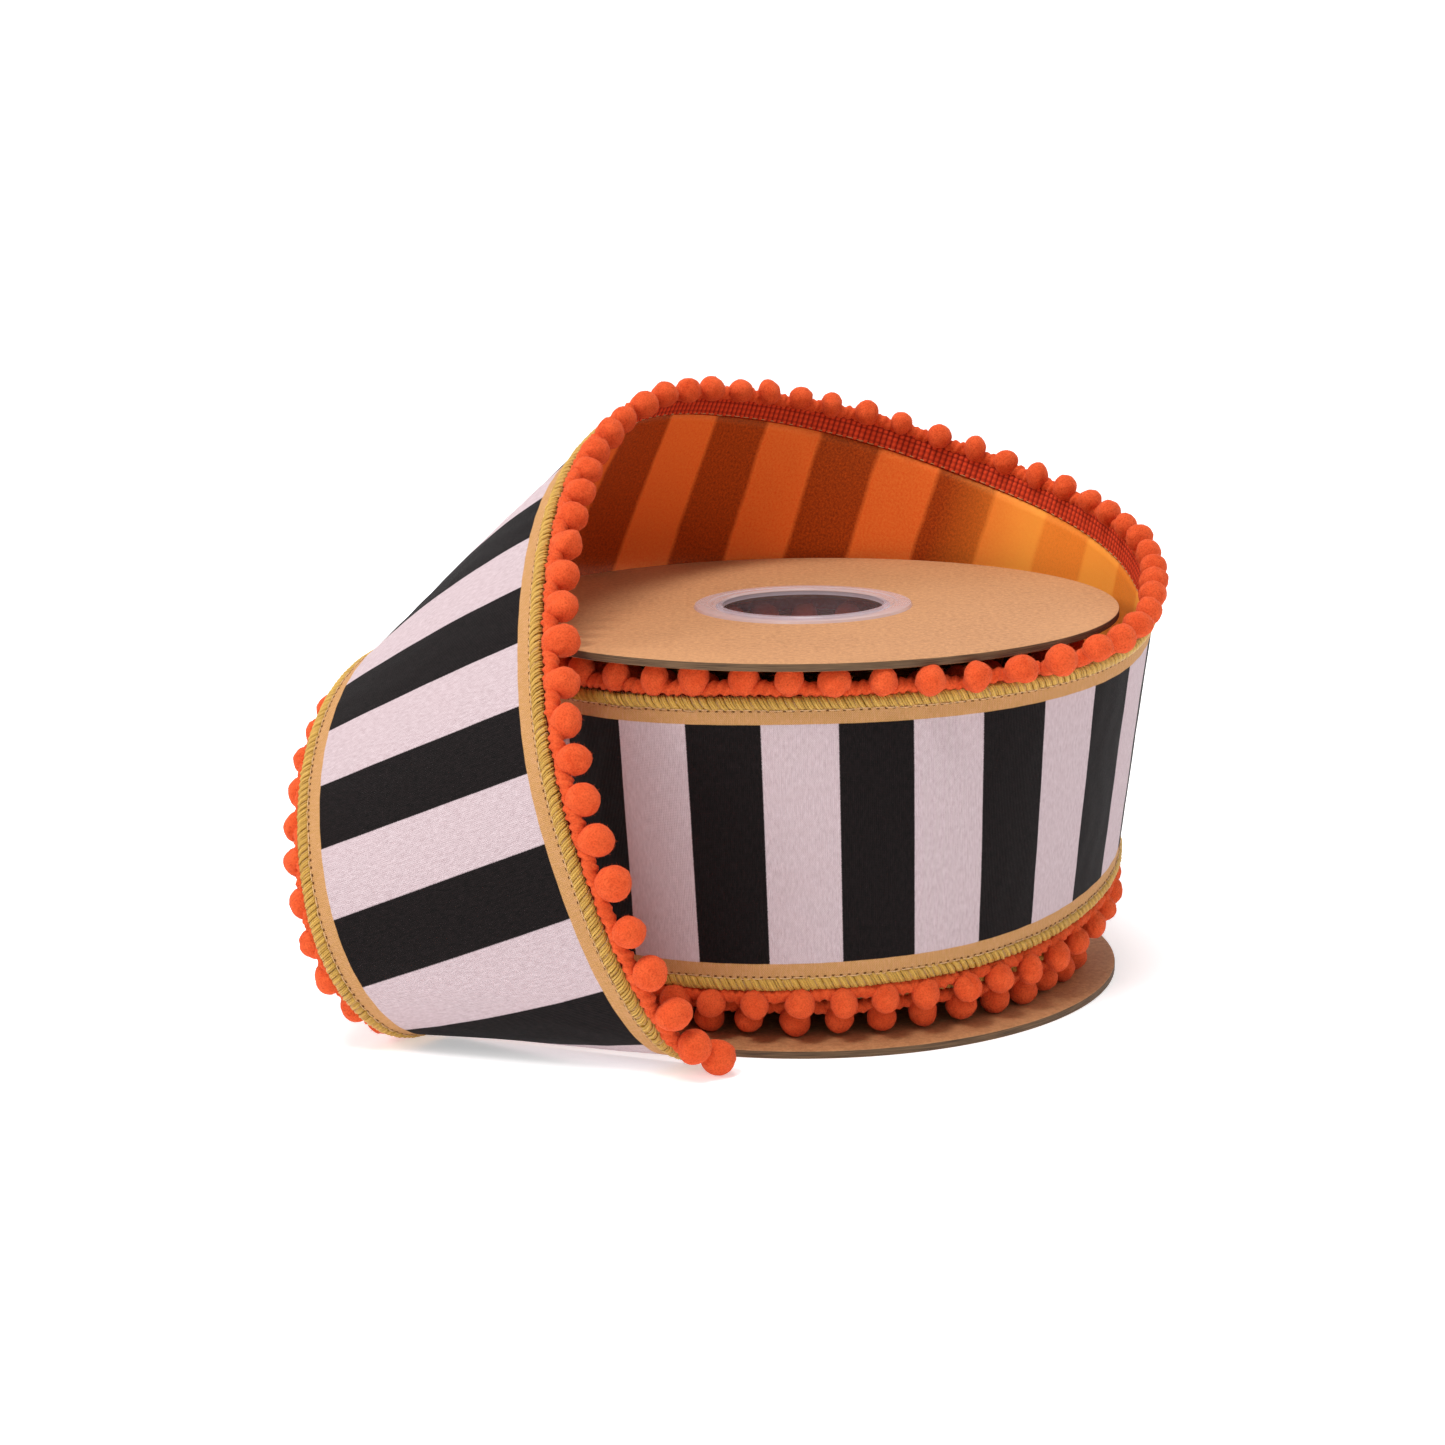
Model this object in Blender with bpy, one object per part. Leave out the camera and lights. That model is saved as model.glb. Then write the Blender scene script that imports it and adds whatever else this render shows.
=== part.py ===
"""A striped ribbon with pompom edges, wound on a card spool.

The outer turn leaves the spool at the right, rises round the back and hangs down in front with its foot on the floor.
Lengths are in millimetres here and become metres when a mesh is made. The floor is z = 0.
"""
import math

import bmesh
import bpy
import numpy as np

MM = 0.001

# The spool's axis, in the part's frame, which is centred on the whole part.
AXIS_X = 16.0
AXIS_Y = 5.8

# Card discs and the plastic hub
FLANGE_RADIUS = 72.5
FLANGE_THICK = 1.7
SPOOL_HEIGHT = 85.5
FLANGE_STEPS = 60
TUBE_OUTER = 19.9
TUBE_BORE = 18.6
RIM_RADIUS = 25.3
RIM_THICK = 0.8
RIM_SEAT = 0.3
HUB_STEPS = 40
GAP = 0.3
CLOTH_GAP = 0.6

# Ribbon, lining and the pompom braid
RIBBON_WIDTH = 63.5
HALF = RIBBON_WIDTH / 2
RIBBON_THICK = 1.0
CORD_PROUD = 0.7
LINING_HALF = 25.9
LINING_THICK = 1.0
HEADER_INNER = 26.3
HEADER_OUTER = HALF + 1.25
HEADER_THICK = 1.1
POM_PITCH = 9.6
POM_ROOT = 2.4

# Wound turns: a spiral that grows by one turn's thickness each way round
ROLL_OUTER = 61.0
ROLL_GROWTH = 4.2
ROLL_MIDDLE = 41.75
ROLL_STEPS = 48
ROLL_START = math.pi

# Bands of turns across the wound form, each as high and as low as its turns stand.
ROLL_COLUMNS = ("inner_radius", "low", "high")
ROLL_BANDS = (
    (20.6, 11.2, 72.4),
    (29.0, 9.6, 73.8),
    (37.5, 10.8, 72.9),
    (46.0, 9.4, 74.0),
    (54.5, 10.0, 73.5),
)

# Where the ribbon starts on the roll and where its cut end stands; the cut is slanted, longer on the upper edge.
RIBBON_START = -63.6
RIBBON_END = 552.0
END_SLANT = 10.0
SLANT_FROM = 490.0
LINING_START = 100.0
ROW_STEP = 11.5
FOOT_STEP = 7.0

# The ribbon's route, one row for each section of its outer face. along is the length on the cloth; x, y and z are the
# middle of the cloth from the spool's axis; tip is how far the upper edge tips from upright and toward is the compass
# direction it tips to, in degrees; bow is how far the middle of the cloth stands out from a straight line across.
ROUTE_COLUMNS = ("along", "x", "y", "z", "tip", "toward", "bow")
ROUTE = (
    (-64, -66.0, 0.0, 43.0, 0, 180, 0.0),
    (-32, -60.0, -30.0, 44.0, 1, 170, 0.0),
    (0, -40.0, -54.5, 44.5, 3, 164, 0.0),
    (40, -2.5, -67.0, 45.5, 1, -166, 0.0),
    (80, 36.0, -59.5, 46.5, 6, -85, 0.5),
    (120, 65.0, -33.0, 49.5, 12, -68, 0.0),
    (160, 78.0, 4.0, 56.0, 13, -64, 0.0),
    (200, 71.5, 41.5, 66.5, 15, -42, 0.5),
    (240, 44.0, 68.5, 78.0, 18, -14, 0.0),
    (280, 7.0, 76.0, 91.0, 18, -19, 0.0),
    (320, -28.5, 65.0, 100.0, 22, -30, 0.5),
    (345, -47.5, 48.5, 103.0, 27, -34, 1.5),
    (370, -64.5, 27.0, 102.0, 37, -34, 3.0),
    (395, -76.0, 4.0, 99.0, 48, -31, 3.5),
    (420, -82.0, -19.0, 91.0, 58, -27, 2.0),
    (450, -84.5, -45.0, 75.0, 65, -22, 0.5),
    (480, -82.5, -67.0, 54.0, 68, -19, 0.0),
    (505, -76.5, -77.0, 32.5, 68, -18, 0.5),
    (530, -66.0, -74.0, 10.0, 74, -29, 2.0),
    (548, -56.0, -65.0, 1.8, 86, -35, 1.5),
    (566, -45.0, -53.0, 1.5, 90, -38, 1.0),
)

# How pompoms hang along each edge: how far a ball's centre stands past the edge, and how deep under the outer face.
# They are squeezed between the flanges at first, pushed out past the top flange's rim, and then hang freely.
HANG_COLUMNS = ("along", "reach", "depth")
UPPER_HANG = (
    (-64, 3.6, -0.5),
    (30, 3.4, -0.5),
    (55, 2.6, -2.5),
    (76, 2.6, -3.5),
    (90, 4.5, -5.0),
    (105, 5.5, -4.5),
    (125, 6.0, -1.5),
    (150, 6.5, 1.0),
    (187, 6.4, 1.8),
    (205, 5.1, 2.0),
    (235, 4.0, 2.0),
    (262, 4.7, 2.0),
    (300, 3.8, 2.0),
    (345, 3.3, 2.0),
    (400, 4.3, 2.0),
    (470, 4.4, 2.0),
    (515, 5.5, 1.0),
    (562, 5.5, 0.5),
)
LOWER_HANG = (
    (-64, 3.4, 0.0),
    (60, 3.4, -0.5),
    (100, 4.8, -1.8),
    (120, 5.0, -0.5),
    (160, 5.0, 1.5),
    (360, 5.0, 2.5),
    (380, 3.4, 2.8),
    (548, 3.4, 2.8),
)
ROLL_TOP_HANG = ((0, 4.1, 1.6),)
ROLL_BOTTOM_HANG = ((0, 4.4, 3.0), (50, 4.4, 3.0), (80, 4.8, -1.5))

# A pompom as a four sided lock: rings by their height along its axis from the ball's centre, and their corner radius.
POM_COLUMNS = ("height", "corner_radius")
POM_RINGS = (
    (-1.3, 3.7),
    (1.5, 3.4),
    (3.2, 1.3),
)
POM_FLOOR = 3.6

# Name, colour, roughness and how clear each material is
MATERIAL_COLUMNS = ("name", "red", "green", "blue", "roughness", "transmission")
MATERIALS = (
    ("ribbon cloth", 0.62, 0.57, 0.60, 0.75, 0.0),
    ("lining satin", 0.72, 0.12, 0.02, 0.45, 0.0),
    ("pompom felt", 0.80, 0.10, 0.02, 0.95, 0.0),
    ("wound cloth", 0.55, 0.45, 0.35, 0.80, 0.0),
    ("kraft card", 0.60, 0.38, 0.20, 0.85, 0.0),
    ("hub plastic", 0.80, 0.75, 0.80, 0.30, 0.6),
)


def clear_scene():
    for thing in list(bpy.data.objects):
        bpy.data.objects.remove(thing, do_unlink=True)


def make_materials():
    made = {}
    for name, red, green, blue, roughness, transmission in MATERIALS:
        material = bpy.data.materials.new(name)
        material.use_nodes = True
        shader = material.node_tree.nodes["Principled BSDF"]
        shader.inputs["Base Color"].default_value = (red, green, blue, 1.0)
        shader.inputs["Roughness"].default_value = roughness
        shader.inputs["Metallic"].default_value = 0.0
        shader.inputs["Transmission Weight"].default_value = transmission
        made[name] = material
    return made


def add_object(name, points, faces, material, parent, smooth_angle=35.0):
    """One closed mesh from points in millimetres, its faces turned outward."""
    mesh = bpy.data.meshes.new(name)
    mesh.from_pydata([tuple(float(value) * MM for value in point) for point in points], [], faces)
    work = bmesh.new()
    work.from_mesh(mesh)
    bmesh.ops.recalc_face_normals(work, faces=work.faces)
    work.to_mesh(mesh)
    work.free()
    mesh.shade_smooth()
    mesh.set_sharp_from_angle(angle=math.radians(smooth_angle))
    mesh.materials.append(material)
    piece = bpy.data.objects.new(name, mesh)
    bpy.context.scene.collection.objects.link(piece)
    piece.parent = parent
    return piece


def smooth_through(knots, values, at):
    """The natural cubic spline through a column of values, read at one place or at many."""
    knots = np.asarray(knots, float)
    values = np.asarray(values, float)
    steps = np.diff(knots)
    slopes = np.diff(values) / steps
    count = len(knots)
    matrix = np.eye(count)
    right = np.zeros(count)
    for row in range(1, count - 1):
        matrix[row, row - 1] = steps[row - 1]
        matrix[row, row] = 2 * (steps[row - 1] + steps[row])
        matrix[row, row + 1] = steps[row]
        right[row] = 6 * (slopes[row] - slopes[row - 1])
    bend = np.linalg.solve(matrix, right)
    span = np.clip(np.searchsorted(knots, at) - 1, 0, count - 2)
    before = at - knots[span]
    after = knots[span + 1] - at
    width = steps[span]
    curved = (bend[span] * after**3 + bend[span + 1] * before**3) / (6 * width)
    left = (values[span] / width - bend[span] * width / 6) * after
    return curved + left + (values[span + 1] / width - bend[span + 1] * width / 6) * before


class Route:
    """The ribbon's outer face, from the table of sections."""

    def __init__(self):
        table = np.array(ROUTE, float)
        column = {name: table[:, place] for place, name in enumerate(ROUTE_COLUMNS)}
        self.knots = column["along"]
        tip = np.radians(column["tip"])
        toward = np.radians(column["toward"])
        self.middle = [column[name] for name in ("x", "y", "z")]
        self.upward = [np.sin(tip) * np.cos(toward), np.sin(tip) * np.sin(toward), np.cos(tip)]
        self.bow = column["bow"]

    def centre(self, along):
        return np.array([smooth_through(self.knots, values, along) for values in self.middle])

    def frame(self, along):
        """The run of the cloth, its width direction to the upper edge, and its outward direction."""
        run = self.centre(along + 1.0) - self.centre(along - 1.0)
        run /= np.linalg.norm(run)
        upward = np.array([smooth_through(self.knots, values, along) for values in self.upward])
        upward /= np.linalg.norm(upward)
        outward = np.cross(run, upward)
        return run, upward, outward / np.linalg.norm(outward)

    def place(self, along, across, depth):
        """A point by its length on the cloth, its height on the width, and its depth under the outer face."""
        run, upward, outward = self.frame(along)
        bow = smooth_through(self.knots, self.bow, along) * (across / HALF) ** 2
        return self.centre(along) + across * upward - (bow + depth) * outward


def roll_radius(turned):
    """The wound form's outer radius after an angle from where the ribbon leaves it."""
    return ROLL_OUTER + ROLL_GROWTH * turned / (2 * math.pi)


def roll_place(along, across, depth):
    """A point on the wound form, by the same three measures as on the ribbon."""
    turned = along / ROLL_OUTER
    angle = ROLL_START + turned
    radius = roll_radius(turned) - depth
    return np.array([radius * math.cos(angle), radius * math.sin(angle), ROLL_MIDDLE + across])


def turned_solid(name, profile, steps, material, parent):
    """A ring turned from a closed profile of radius and height."""
    points = []
    faces = []
    size = len(profile)
    for step in range(steps):
        angle = 2 * math.pi * step / steps
        for radius, height in profile:
            points.append((radius * math.cos(angle), radius * math.sin(angle), height))
        start = step * size
        after = (step + 1) % steps * size
        for here in range(size):
            there = (here + 1) % size
            faces.append((start + here, start + there, after + there, after + here))
    return add_object(name, points, faces, material, parent)


def add_flanges(card, parent):
    hole = TUBE_OUTER + GAP
    recess = RIM_RADIUS + GAP + 0.1
    recess_top = RIM_THICK + GAP
    lower = [
        (recess, 0.0),
        (FLANGE_RADIUS, 0.0),
        (FLANGE_RADIUS, FLANGE_THICK),
        (hole, FLANGE_THICK),
        (hole, recess_top),
        (recess, recess_top),
    ]
    base = SPOOL_HEIGHT - FLANGE_THICK
    upper = [
        (hole, base),
        (FLANGE_RADIUS, base),
        (FLANGE_RADIUS, SPOOL_HEIGHT),
        (recess, SPOOL_HEIGHT),
        (recess, SPOOL_HEIGHT - RIM_SEAT),
        (hole, SPOOL_HEIGHT - RIM_SEAT),
    ]
    turned_solid("flange_bottom", lower, FLANGE_STEPS, card, parent)
    turned_solid("flange_top", upper, FLANGE_STEPS, card, parent)


def add_hub(plastic, parent):
    under = SPOOL_HEIGHT - RIM_SEAT + GAP
    top = under + RIM_THICK
    profile = [
        (TUBE_BORE, 0.0),
        (RIM_RADIUS, 0.0),
        (RIM_RADIUS, RIM_THICK),
        (TUBE_OUTER, RIM_THICK),
        (TUBE_OUTER, under),
        (RIM_RADIUS, under),
        (RIM_RADIUS - 0.4, top),
        (TUBE_BORE + 0.5, top),
        (TUBE_BORE, top - 0.5),
    ]
    turned_solid("hub", profile, HUB_STEPS, plastic, parent)


def roll_profile(outer):
    """The wound form's closed section: up its outside, in over the turns' tops, and out again under them."""
    bands = [dict(zip(ROLL_COLUMNS, row)) for row in ROLL_BANDS]
    edges = [band["inner_radius"] for band in bands[1:]] + [outer]
    tops = []
    lows = []
    for band, edge in zip(bands, edges):
        lows += [(band["inner_radius"], band["low"]), (edge, band["low"])]
        tops += [(band["inner_radius"], band["high"]), (edge, band["high"])]
    return lows + tops[::-1]


def add_wound_ribbon(cloth, parent):
    """The spiral form: its last ring is one turn further out than its first, with a step between them."""
    size = len(roll_profile(ROLL_OUTER))
    low = size // 2 - 1
    high = size // 2
    points = []
    faces = []
    for step in range(ROLL_STEPS):
        turned = 2 * math.pi * step / ROLL_STEPS
        angle = ROLL_START + turned
        for radius, height in roll_profile(roll_radius(turned)):
            points.append((radius * math.cos(angle), radius * math.sin(angle), height))
    last = (ROLL_STEPS - 1) * size
    end_radius = roll_radius(2 * math.pi)
    step_low = len(points)
    step_high = step_low + 1
    for place in (low, high):
        height = roll_profile(end_radius)[place][1]
        points.append((end_radius * math.cos(ROLL_START), end_radius * math.sin(ROLL_START), height))
    for step in range(ROLL_STEPS - 1):
        start = step * size
        for here in range(size):
            there = (here + 1) % size
            faces.append((start + here, start + there, start + size + there, start + size + here))
    for here in range(size):
        there = (here + 1) % size
        if here == low:
            faces.append((last + low, last + high, step_high, step_low))
        elif there == low:
            faces.append((last + here, last + low, step_low, low, here))
        elif here == high:
            faces.append((last + high, last + there, there, high, step_high))
        else:
            faces.append((last + here, last + there, there, here))
    faces.append((low, step_low, step_high, high))
    return add_object("wound_ribbon", points, faces, cloth, parent)


def slanted(along, across):
    """The length on the cloth at a height on its width, drawn on towards the slanted cut."""
    share = min(max((along - SLANT_FROM) / (RIBBON_END - SLANT_FROM), 0.0), 1.0)
    return along + END_SLANT * share * across / HALF


def sheet(name, route, rows, columns, material, parent):
    """A sheet by rows along the cloth and columns of height, outer depth and inner depth."""
    count = len(columns)
    points = []
    faces = []
    for along in rows:
        for across, outer, _ in columns:
            points.append(route.place(slanted(along, across), across, outer))
        for across, _, inner in columns[::-1]:
            points.append(route.place(slanted(along, across), across, inner))
    size = 2 * count
    for row in range(len(rows) - 1):
        start = row * size
        for here in range(size):
            there = (here + 1) % size
            faces.append((start + here, start + there, start + size + there, start + size + here))
    for start in (0, (len(rows) - 1) * size):
        for here in range(count - 1):
            faces.append((start + here, start + here + 1, start + size - 2 - here, start + size - 1 - here))
    return add_object(name, points, faces, material, parent)


def cloth_rows():
    """Rows along the cloth, closer together where it turns at its foot."""
    coarse = np.linspace(RIBBON_START, SLANT_FROM, round((SLANT_FROM - RIBBON_START) / ROW_STEP) + 1)
    fine = np.linspace(SLANT_FROM, RIBBON_END, round((RIBBON_END - SLANT_FROM) / FOOT_STEP) + 1)
    return list(coarse) + list(fine[1:])


def add_ribbon(route, cloth, parent):
    cord = HALF - 1.5
    flat = HALF - 3.2
    columns = [
        (-HALF, 0.3, RIBBON_THICK),
        (-cord, -CORD_PROUD, RIBBON_THICK),
        (-flat, 0.0, RIBBON_THICK),
        (-flat / 2, 0.0, RIBBON_THICK),
        (0.0, 0.0, RIBBON_THICK),
        (flat / 2, 0.0, RIBBON_THICK),
        (flat, 0.0, RIBBON_THICK),
        (cord, -CORD_PROUD, RIBBON_THICK),
        (HALF, 0.3, RIBBON_THICK),
    ]
    sheet("ribbon", route, cloth_rows(), columns, cloth, parent)


def add_lining(route, satin, parent):
    outer = RIBBON_THICK + CLOTH_GAP
    inner = outer + LINING_THICK
    places = [LINING_HALF * share for share in (-1.0, -0.5, 0.0, 0.5, 1.0)]
    columns = [(across, outer, inner) for across in places]
    rows = [along for along in cloth_rows() if along > LINING_START]
    sheet("lining", route, rows, columns, satin, parent)


def hang_at(hang, along):
    """Reach and depth of a pompom, read along its table."""
    places, reaches, depths = np.array(hang, float).T
    return np.interp(along, places, reaches), np.interp(along, places, depths)


def trim(name, place, side, start, end, section, hang, felt, parent):
    """A header strip along one edge, with a four sided pompom grown from each root on its outer face."""
    inner, outer, near, far = section
    corners = ((inner, near), (outer, near), (outer, far), (inner, far))
    count = int((end - start) / POM_PITCH)
    spare = (end - start - count * POM_PITCH) / 2
    roots = [start + spare + (number + 0.5) * POM_PITCH for number in range(count)]
    stops = [start]
    for root in roots:
        stops += [root - POM_ROOT / 2, root + POM_ROOT / 2]
    stops.append(end)
    points = []
    faces = []
    for along in stops:
        points += [place(along, side * across, depth) for across, depth in corners]
    last = len(points) - 4
    faces += [(0, 1, 2, 3), (last, last + 1, last + 2, last + 3)]
    for stop in range(len(stops) - 1):
        first = stop * 4
        for here in range(4):
            there = (here + 1) % 4
            if here == 1 and stop % 2 == 1:
                continue
            faces.append((first + here, first + there, first + 4 + there, first + 4 + here))
    for number, root in enumerate(roots):
        first = (2 * number + 1) * 4
        ring = [first + 1, first + 5, first + 6, first + 2]
        foot = sum(np.array(points[corner]) for corner in ring) / 4
        reach, depth = hang_at(hang, root)
        ball = place(root, side * (HALF + reach), depth)
        ball[2] = max(ball[2], POM_FLOOR)
        axis = ball - foot
        axis /= np.linalg.norm(axis)
        run = place(root + 1.0, side * outer, near) - place(root - 1.0, side * outer, near)
        run -= axis * run.dot(axis)
        run /= np.linalg.norm(run)
        deep = np.cross(axis, run)
        if deep.dot(np.array(points[first + 2]) - np.array(points[first + 1])) < 0:
            deep = -deep
        for height, radius in POM_RINGS:
            middle = ball + axis * height
            half = radius / math.sqrt(2)
            new = len(points)
            for along_sign, deep_sign in ((-1, -1), (1, -1), (1, 1), (-1, 1)):
                points.append(middle + half * (along_sign * run + deep_sign * deep))
            for here in range(4):
                there = (here + 1) % 4
                faces.append((ring[here], ring[there], new + there, new + here))
            ring = [new, new + 1, new + 2, new + 3]
        faces.append(tuple(ring))
    return add_object(name, points, faces, felt, parent, 60.0)


def add_trims(route, felt, parent):
    near = RIBBON_THICK + CLOTH_GAP
    section = (HEADER_INNER, HEADER_OUTER, near, near + HEADER_THICK)
    start = RIBBON_START + 1.0
    cut = RIBBON_END - 1.0
    trim("trim_upper", route.place, 1, start, cut + END_SLANT, section, UPPER_HANG, felt, parent)
    trim("trim_lower", route.place, -1, start, cut - END_SLANT, section, LOWER_HANG, felt, parent)
    ring = (HALF + GAP, HALF + GAP + 1.5, 0.6, 3.1)
    whole = 2 * math.pi * ROLL_OUTER
    trim("roll_trim_top", roll_place, 1, 1.0, whole - 2.0, ring, ROLL_TOP_HANG, felt, parent)
    trim("roll_trim_bottom", roll_place, -1, 1.0, whole - 2.0, ring, ROLL_BOTTOM_HANG, felt, parent)


def main():
    clear_scene()
    materials = make_materials()
    axis = bpy.data.objects.new("spool_axis", None)
    axis.location = (AXIS_X * MM, AXIS_Y * MM, 0.0)
    bpy.context.scene.collection.objects.link(axis)
    route = Route()
    add_flanges(materials["kraft card"], axis)
    add_hub(materials["hub plastic"], axis)
    add_wound_ribbon(materials["wound cloth"], axis)
    add_ribbon(route, materials["ribbon cloth"], axis)
    add_lining(route, materials["lining satin"], axis)
    add_trims(route, materials["pompom felt"], axis)


main()
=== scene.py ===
"""A striped ribbon with pompom edges, wound on a card spool, with its lined end hanging loose in front.

Lengths are in millimetres until a mesh is made. Every piece is measured on the cloth: along is the length
on the ribbon, across the height on its width, and depth how far under its outer face a point lies.
"""
import math

import bmesh
import bpy
import numpy as np
from mathutils import Matrix, Vector


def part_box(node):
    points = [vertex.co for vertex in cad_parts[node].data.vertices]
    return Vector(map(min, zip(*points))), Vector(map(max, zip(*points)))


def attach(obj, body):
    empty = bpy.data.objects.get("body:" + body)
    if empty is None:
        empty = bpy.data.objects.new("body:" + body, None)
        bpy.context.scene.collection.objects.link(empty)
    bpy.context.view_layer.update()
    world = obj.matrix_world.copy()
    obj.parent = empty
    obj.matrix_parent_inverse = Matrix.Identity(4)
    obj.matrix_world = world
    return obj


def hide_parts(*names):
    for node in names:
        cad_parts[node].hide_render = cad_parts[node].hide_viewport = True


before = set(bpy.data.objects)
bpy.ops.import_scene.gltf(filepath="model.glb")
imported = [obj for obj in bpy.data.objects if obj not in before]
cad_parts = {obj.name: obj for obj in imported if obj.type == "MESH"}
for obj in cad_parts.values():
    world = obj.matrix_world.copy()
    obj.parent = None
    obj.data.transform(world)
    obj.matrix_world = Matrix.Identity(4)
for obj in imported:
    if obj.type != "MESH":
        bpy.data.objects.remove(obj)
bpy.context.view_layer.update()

MM = 0.001
rng = np.random.default_rng(7)

# The spool's axis, read from the lower card disc
disc_low, disc_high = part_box("flange_bottom")
AXIS = np.array([(disc_low.x + disc_high.x) / 2, (disc_low.y + disc_high.y) / 2, 0.0]) / MM

# Card discs
FLANGE_RADIUS = 72.5
FLANGE_THICK = 1.7
FLANGE_SOFT = 0.22
FLANGE_GAP = 0.3
FLANGE_STEPS = 240
SPOOL_HEIGHT = 85.5

# The plastic hub: a tube on a flat foot, with a rim that sits a little in the upper disc
TUBE_OUTER = 19.9
TUBE_BORE = 18.6
TUBE_FOOT = 0.88
TUBE_JOIN = 0.02
TUBE_STEPS = 120
WALL_OUTER = TUBE_OUTER - 0.1
RIM_RADIUS = 25.3
RIM_BASE = SPOOL_HEIGHT - 0.2
RIM_LIP = 0.4
RIM_STEPS = 160

# Ribbon and lining
HALF = 31.75
STRIPE = 16.0
BAND_INNER = 26.05
EDGE_INNER = 29.3
CLOTH_THICK = 1.0
RIB = 0.42
PICK = 0.36
LINING_HALF = 26.7
LINING_NEAR = CLOTH_THICK + 0.1
LINING_FAR = CLOTH_THICK + 0.75

# Where the ribbon starts on the roll and where its slanted cut stands
RIBBON_START = -63.6
RIBBON_END = 552.0
END_SLANT = 10.0
SLANT_FROM = 490.0
LINING_START = 100.0

# The cloth swells a little under its overcast edge
SWELL = 0.34
SWELL_FROM = 29.0
SWELL_OVER = 1.3

# The overcast edge: the threads' course round it as height and depth, and each one's place and tone
STITCH = 1.75
EDGE_COURSE = ((29.3, 0.02), (29.85, -0.42), (30.75, -0.64), (31.6, -0.3), (31.92, 0.5), (31.3, 1.2))
EDGE_SLANT = 1.15
EDGE_CROWN = 0.14
EDGE_CROWN_AT = 0.6
GOLD_RADIUS = 0.31
GOLD_THREADS = ((-0.47, 0.5), (0.0, 0.85), (0.47, 0.5))
PALE_RADIUS = 0.16
PALE_THREADS = ((0.87, 0.4),)

# The needle's holes beside the overcast edge
HOLE_IN = 0.3
HOLE_WIDE = 0.34
HOLE_HIGH = 0.26

# The braid's header, a ladder weave of rungs and lines in relief
HEADER_INNER = 26.3
HEADER_OUTER = 32.4
HEADER_NEAR = CLOTH_THICK + 0.15
HEADER_FAR = CLOTH_THICK + 1.0
HEADER_RUNG = 1.45
HEADER_LINE = 1.25
HEADER_RELIEF = 0.42
HEADER_SUNK = 0.15
HEADER_COLUMNS = 17

# Rows of surface stitches, beside the overcast edge and on the header
EDGE_RUN_IN = 0.12
EDGE_RUN = {"depth": (-0.05, -0.22), "length": 2.5, "gap": 0.5, "radius": 0.12, "wander": 0.07, "tone": 0.8}
HEADER_RUN_IN = 0.45
HEADER_RUN = {
    "depth": (HEADER_FAR - 0.05, HEADER_FAR + 0.22),
    "length": 1.9,
    "gap": 0.9,
    "radius": 0.11,
    "wander": 0.05,
    "tone": 0.1,
}

# Pompoms: their spacing, where a row's first one stands, and a ball's radius by its place along the cloth
POM_PITCH = 9.6
POM_FIRST = -58.0
POM_SIZES = ((-64, 3.2), (120, 3.2), (180, 2.95), (320, 3.0), (370, 3.45), (562, 3.5))
FINE_BALL = 4
PLAIN_BALL = 3
FLOOR_CLEAR = 3.7
CREASE_DEPTH = 0.075
CREASE_WIDTH = 0.1
HAIR_LENGTH = (0.25, 0.85)
HAIR_LEAN = 0.75
HAIR_THICK = 0.035

# Yarn links between the balls, and the short necks that carry them
LINK_OUT = 1.6
LINK_LEAST = 0.3
LINK_CLOSE = 1.7
LINK_FOLLOW = 0.7
LINK_DEPTH = 1.0
LINK_BEHIND = 1.4
LINK_STEP = 0.55
LINK_SIDES = 12
LINK_TWIST = 4.1
NECK_RADIUS = 1.5
NECK_ROOT = 0.6
NECK_SIDES = 10

# The wound turns: a spiral that grows by a turn's thickness each time round, with its inner turns slipped
ROLL_OUTER = 61.0
ROLL_GROWTH = 4.2
ROLL_MIDDLE = 41.75
ROLL_INNER = 22.5
ROLL_THICK = 2.1
ROLL_STEPS = 720
ROLL_SLIP = 0.8
ROLL_SLIP_WAVES = 0.61
ROLL_SLIP_OVER = 8.0
OUTER_TURN_RADIUS = 63.0
INNER_TURN_RADIUS = 25.5

# The route by sections: the cloth's middle from the spool's axis, its tip in degrees, where to, and its bow
ROUTE_COLUMNS = ("along", "x", "y", "z", "tip", "toward", "bow")
ROUTE = (
    (-64, -66.0, 0.0, 43.0, 0, 180, 0.0),
    (-32, -60.0, -30.0, 44.0, 1, 170, 0.0),
    (0, -40.0, -54.5, 44.5, 3, 164, 0.0),
    (40, -2.5, -67.0, 45.5, 1, -166, 0.0),
    (80, 36.0, -59.5, 46.5, 6, -85, 0.5),
    (120, 65.0, -33.0, 49.5, 12, -68, 0.0),
    (160, 78.0, 4.0, 56.0, 13, -64, 0.0),
    (200, 71.5, 41.5, 66.5, 15, -42, 0.5),
    (240, 44.0, 68.5, 78.0, 18, -14, 0.0),
    (280, 7.0, 76.0, 91.0, 18, -19, 0.0),
    (320, -28.5, 65.0, 100.0, 22, -30, 0.5),
    (345, -47.5, 48.5, 103.0, 27, -34, 1.5),
    (370, -64.5, 27.0, 102.0, 37, -34, 3.0),
    (395, -76.0, 4.0, 99.0, 48, -31, 3.5),
    (420, -82.0, -19.0, 91.0, 58, -27, 2.0),
    (450, -84.5, -45.0, 75.0, 65, -22, 0.5),
    (480, -82.5, -67.0, 54.0, 68, -19, 0.0),
    (505, -76.5, -77.0, 32.5, 68, -18, 0.5),
    (530, -66.0, -74.0, 10.0, 74, -29, 2.0),
    (548, -56.0, -65.0, 1.8, 86, -35, 1.5),
    (566, -45.0, -53.0, 1.5, 90, -38, 1.0),
)

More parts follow.
